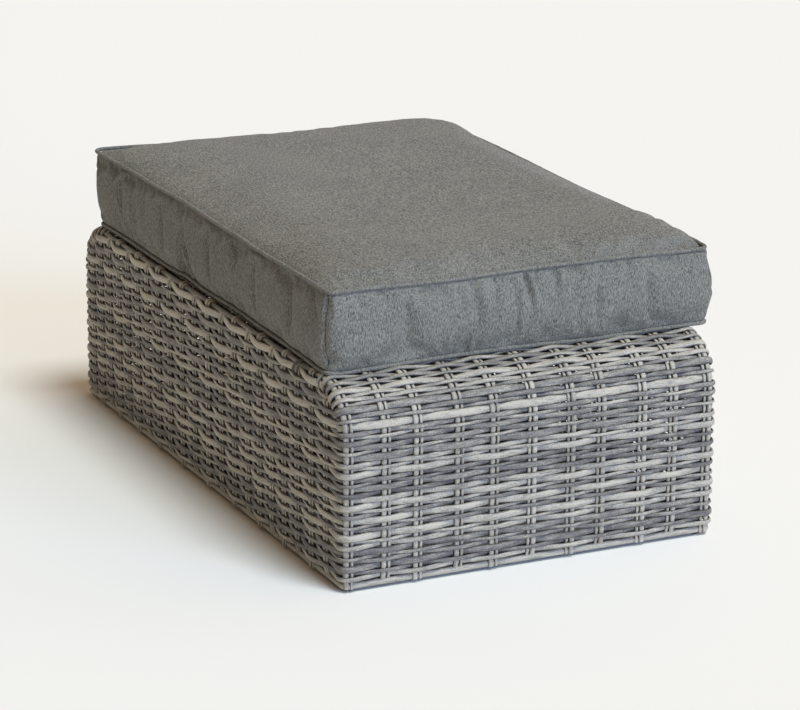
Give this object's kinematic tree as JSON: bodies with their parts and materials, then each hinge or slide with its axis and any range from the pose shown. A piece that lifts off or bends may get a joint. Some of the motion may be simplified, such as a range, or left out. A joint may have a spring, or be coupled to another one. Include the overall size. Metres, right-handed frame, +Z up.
{
  "type": "outdoor ottoman footstool",
  "caption": "Oblong woven wicker footstool with rolled short ends on a hidden tube frame, topped by a loose, piped box cushion.",
  "frame": {"origin": "middle of the overall footprint, on the floor under the glides", "axes": "+X across the width towards the side the cushion overhangs, +Y along the length towards the zip end, +Z up"},
  "size_m": [0.6202, 1.02, 0.4289],
  "materials": {
    "wicker": "half-round weathered grey resin strand with a streaked grain, satin",
    "binding": "thin grey-brown resin strand wound over the rims, satin",
    "tube": "dark powder coat, fine texture",
    "glide": "moulded black, satin",
    "fabric": "heathered grey woven outdoor fabric",
    "foam": "open-cell cushion foam",
    "zip": "grey coil zip, satin",
    "zip_metal": "dark enamelled slider and pull"
  },
  "bodies": {
    "bench": {"back_bottom_border": "binding", "back_bottom_rail": "tube", "back_left_elbow": "tube", "back_left_glide": "glide", "back_left_post": "tube", "back_right_elbow": "tube", "back_right_glide": "glide", "back_right_post": "tube", "back_weave": "wicker", "bottom_stretcher": "tube", "deck_bearer_1": "tube", "deck_bearer_2": "tube", "deck_bearer_3": "tube", "deck_bearer_4": "tube", "deck_bearer_5": "tube", "deck_weave": "wicker", "front_bottom_border": "binding", "front_bottom_rail": "tube", "front_left_elbow": "tube", "front_left_glide": "glide", "front_left_post": "tube", "front_right_elbow": "tube", "front_right_glide": "glide", "front_right_post": "tube", "front_weave": "wicker", "left_back_bottom_rail": "tube", "left_bottom_border": "binding", "left_front_bottom_rail": "tube", "left_inner_border": "binding", "left_middle_glide": "glide", "left_middle_post": "tube", "left_outer_border": "binding", "left_top_rail": "tube", "left_weave": "wicker", "right_back_bottom_rail": "tube", "right_bottom_border": "binding", "right_front_bottom_rail": "tube", "right_inner_border": "binding", "right_middle_glide": "glide", "right_middle_post": "tube", "right_outer_border": "binding", "right_top_rail": "tube", "right_weave": "wicker"},
    "cushion": {"foam_core": "foam", "cover_top": "fabric", "cover_bottom": "fabric", "boxing_front": "fabric", "boxing_back": "fabric", "boxing_left": "fabric", "boxing_right": "fabric", "piping_top": "fabric", "piping_bottom": "fabric", "zip_chain": "zip"},
    "zip_slider": {"zip_slider": "zip_metal"},
    "zip_pull": {"zip_pull": "zip_metal"}
  },
  "joints": [
    {"name": "cushion_lift", "type": "slide", "parent": "bench", "child": "cushion", "axis": [0, 0, 1], "range_m": [0, 0.15]},
    {"name": "zip_slide", "type": "slide", "parent": "cushion", "child": "zip_slider", "axis": [-1, 0, 0], "range_m": [0, 0.3278]},
    {"name": "pull_swing", "type": "hinge", "parent": "zip_slider", "child": "zip_pull", "pos_m": [0.16927, 0.46543, 0.3623], "axis": [0, 0, 1], "range_deg": [0, 180]}
  ]
}
